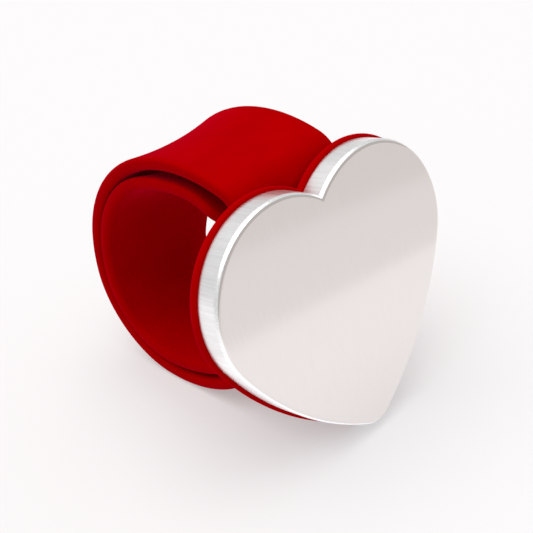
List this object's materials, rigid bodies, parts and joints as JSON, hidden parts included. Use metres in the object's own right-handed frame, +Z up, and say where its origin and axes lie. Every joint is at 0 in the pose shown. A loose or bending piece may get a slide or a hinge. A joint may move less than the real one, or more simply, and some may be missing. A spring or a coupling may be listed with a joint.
{
  "type": "magnetic slap wristband",
  "caption": "Silicone slap wristband coiled closed, with a heart-shaped brushed metal magnetic plate that holds pins and hair grips.",
  "frame": {"origin": "middle of the footprint on the surface it rests on: halfway between the foremost point of the heart's face and the back of the coil, under the heart's centre line", "axes": "+X across the band, from the wearer's side of the left lobe to the right lobe; +Y from the heart's face to the back of the coil; +Z up from the surface it rests on"},
  "size_m": [0.0578, 0.064, 0.0534],
  "materials": {
    "brushed_cover": "fine brushed, satin",
    "red_silicone": "smooth matte silicone",
    "spring_steel": "rolled strip",
    "carrier_plastic": "moulded matte",
    "magnet_nickel": "nickel plated"
  },
  "bodies": {
    "heart_and_inner_wing": {"heart_cover": "brushed_cover", "heart_base": "red_silicone", "magnet_carrier": "carrier_plastic", "magnets": "magnet_nickel", "inner_band": "red_silicone", "inner_spring": "spring_steel"},
    "link_01": {"band_link_01": "red_silicone", "spring_link_01": "spring_steel"},
    "link_02": {"band_link_02": "red_silicone", "spring_link_02": "spring_steel"},
    "link_03": {"band_link_03": "red_silicone", "spring_link_03": "spring_steel"},
    "link_04": {"band_link_04": "red_silicone", "spring_link_04": "spring_steel"},
    "link_05": {"band_link_05": "red_silicone", "spring_link_05": "spring_steel"},
    "link_06": {"band_link_06": "red_silicone", "spring_link_06": "spring_steel"},
    "link_07": {"band_link_07": "red_silicone", "spring_link_07": "spring_steel"},
    "link_08": {"band_link_08": "red_silicone", "spring_link_08": "spring_steel"},
    "link_09": {"band_link_09": "red_silicone", "spring_link_09": "spring_steel"},
    "link_10": {"band_link_10": "red_silicone", "spring_link_10": "spring_steel"},
    "link_11": {"band_link_11": "red_silicone", "spring_link_11": "spring_steel"},
    "link_12": {"band_link_12": "red_silicone", "spring_link_12": "spring_steel"}
  },
  "joints": [
    {"name": "wing_uncurl", "type": "hinge", "parent": "heart_and_inner_wing", "child": "link_01", "pos_m": [0, -0.01525, 0.04877], "axis": [1, 0, 0], "range_deg": [0, 30.5], "stiffness_Nm_per_rad": 0.17, "springref_deg": -1.55},
    {"name": "wing_bend_02", "type": "hinge", "parent": "link_01", "child": "link_02", "pos_m": [0, -0.01308, 0.05026], "axis": [1, 0, 0], "range_deg": [0, 26.05], "stiffness_Nm_per_rad": 0.16, "springref_deg": -1.5},
    {"name": "wing_bend_03", "type": "hinge", "parent": "link_02", "child": "link_03", "pos_m": [0, -0.00084, 0.05204], "axis": [1, 0, 0], "range_deg": [0, 21.6], "stiffness_Nm_per_rad": 0.12, "springref_deg": -0.85},
    {"name": "wing_bend_04", "type": "hinge", "parent": "link_03", "child": "link_04", "pos_m": [0, 0.01119, 0.0492], "axis": [1, 0, 0], "range_deg": [0, 21.6], "stiffness_Nm_per_rad": 0.093, "springref_deg": 0.36},
    {"name": "wing_bend_05", "type": "hinge", "parent": "link_04", "child": "link_05", "pos_m": [0, 0.02133, 0.04212], "axis": [1, 0, 0], "range_deg": [0, 21.6], "stiffness_Nm_per_rad": 0.11, "springref_deg": 1.25},
    {"name": "wing_bend_06", "type": "hinge", "parent": "link_05", "child": "link_06", "pos_m": [0, 0.02816, 0.03181], "axis": [1, 0, 0], "range_deg": [0, 21.6], "stiffness_Nm_per_rad": 0.17, "springref_deg": 1.24},
    {"name": "wing_bend_07", "type": "hinge", "parent": "link_06", "child": "link_07", "pos_m": [0, 0.03071, 0.01971], "axis": [1, 0, 0], "range_deg": [0, 21.8], "stiffness_Nm_per_rad": 0.19, "springref_deg": 1.24},
    {"name": "wing_bend_08", "type": "hinge", "parent": "link_07", "child": "link_08", "pos_m": [0, 0.02953, 0.01294], "axis": [1, 0, 0], "range_deg": [0, 22], "stiffness_Nm_per_rad": 0.18, "springref_deg": 1.21},
    {"name": "wing_bend_09", "type": "hinge", "parent": "link_08", "child": "link_09", "pos_m": [0, 0.0259, 0.00711], "axis": [1, 0, 0], "range_deg": [0, 22], "stiffness_Nm_per_rad": 0.14, "springref_deg": 1.2},
    {"name": "wing_bend_10", "type": "hinge", "parent": "link_09", "child": "link_10", "pos_m": [0, 0.02035, 0.00306], "axis": [1, 0, 0], "range_deg": [0, 22], "stiffness_Nm_per_rad": 0.074, "springref_deg": 1.24},
    {"name": "wing_bend_11", "type": "hinge", "parent": "link_10", "child": "link_11", "pos_m": [0, 0.01369, 0.00139], "axis": [1, 0, 0], "range_deg": [0, 21], "stiffness_Nm_per_rad": 0.01, "springref_deg": 0.38},
    {"name": "wing_bend_12", "type": "hinge", "parent": "link_11", "child": "link_12", "pos_m": [0, 0.00231, 0.00276], "axis": [1, 0, 0], "range_deg": [0, 20], "stiffness_Nm_per_rad": 0.005, "springref_deg": -1.51}
  ],
  "couplings": [
    {"joint": "wing_bend_02", "follows": "wing_uncurl", "ratio": 0.8541},
    {"joint": "wing_bend_03", "follows": "wing_uncurl", "ratio": 0.7082},
    {"joint": "wing_bend_04", "follows": "wing_uncurl", "ratio": 0.7082},
    {"joint": "wing_bend_05", "follows": "wing_uncurl", "ratio": 0.7082},
    {"joint": "wing_bend_06", "follows": "wing_uncurl", "ratio": 0.7082},
    {"joint": "wing_bend_07", "follows": "wing_uncurl", "ratio": 0.71475},
    {"joint": "wing_bend_08", "follows": "wing_uncurl", "ratio": 0.72131},
    {"joint": "wing_bend_09", "follows": "wing_uncurl", "ratio": 0.72131},
    {"joint": "wing_bend_10", "follows": "wing_uncurl", "ratio": 0.72131},
    {"joint": "wing_bend_11", "follows": "wing_uncurl", "ratio": 0.68852},
    {"joint": "wing_bend_12", "follows": "wing_uncurl", "ratio": 0.65574}
  ]
}
